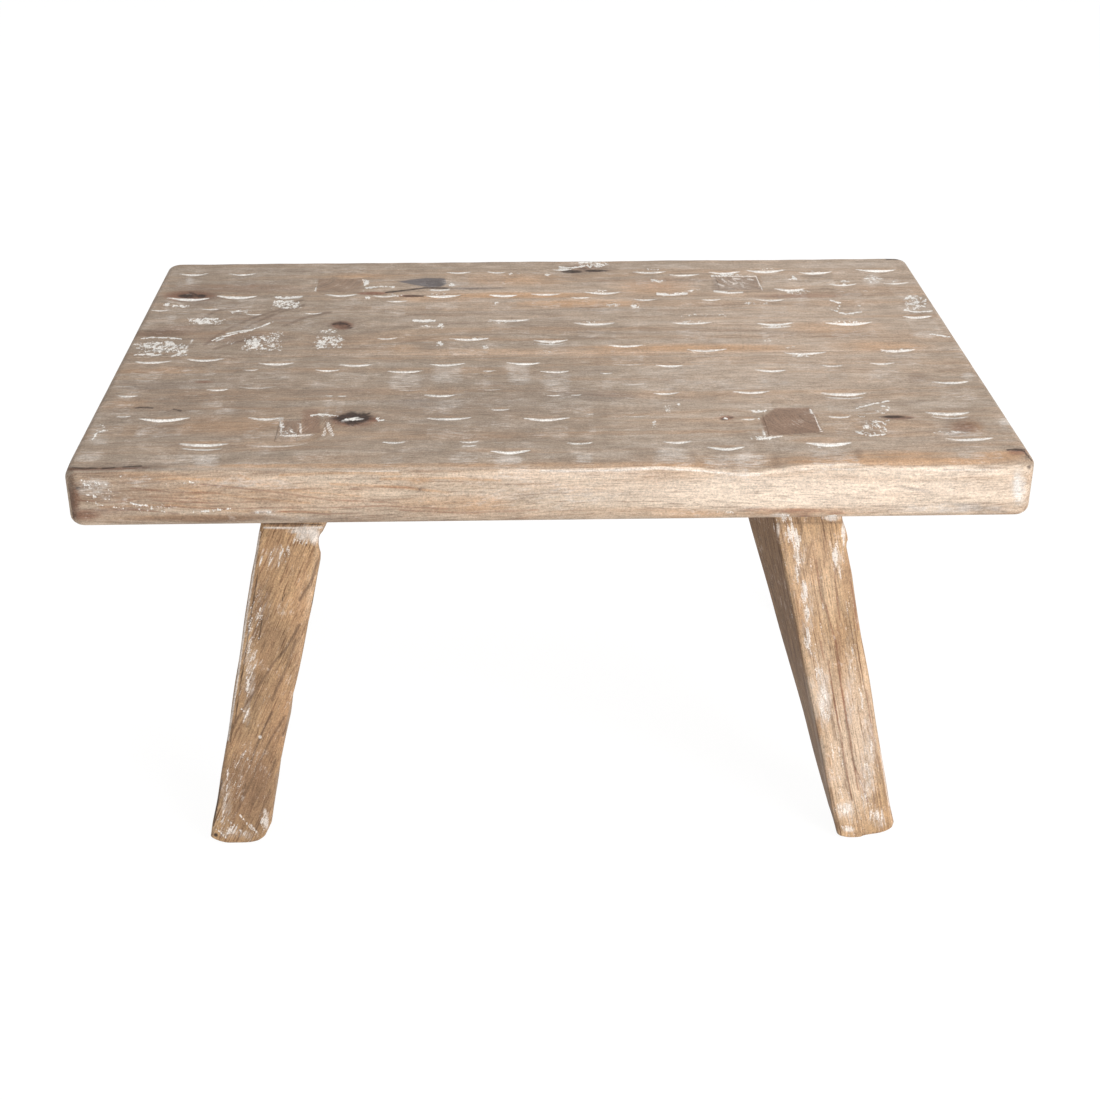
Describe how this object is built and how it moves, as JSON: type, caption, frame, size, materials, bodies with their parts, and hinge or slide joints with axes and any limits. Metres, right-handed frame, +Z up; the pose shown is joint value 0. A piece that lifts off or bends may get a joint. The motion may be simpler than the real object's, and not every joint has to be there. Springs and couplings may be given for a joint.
{
  "type": "stool",
  "caption": "Low rectangular wooden stool with a thick carved slab seat of two joined planks on splayed legs whose tenons show through the top.",
  "frame": {"origin": "on the floor under the middle of the seat", "axes": "+X along the seat's length to its right end, +Y from the front to the rear, +Z up"},
  "size_m": [0.5, 0.335, 0.252],
  "materials": {
    "seat_wood": "whitewashed, rubbed back and waxed, matt",
    "leg_wood": "whitewashed in the hollows, rubbed back and waxed, matt",
    "wedge_wood": "end grain, rubbed back, matt",
    "dowel_wood": "plain turned wood, hidden"
  },
  "bodies": {
    "root": {"seat_front_plank": "seat_wood", "seat_rear_plank": "seat_wood", "front_left_leg": "leg_wood", "front_right_leg": "leg_wood", "rear_left_leg": "leg_wood", "rear_right_leg": "leg_wood", "front_left_tenon_wedge": "wedge_wood", "plank_dowels": "dowel_wood"}
  },
  "joints": []
}
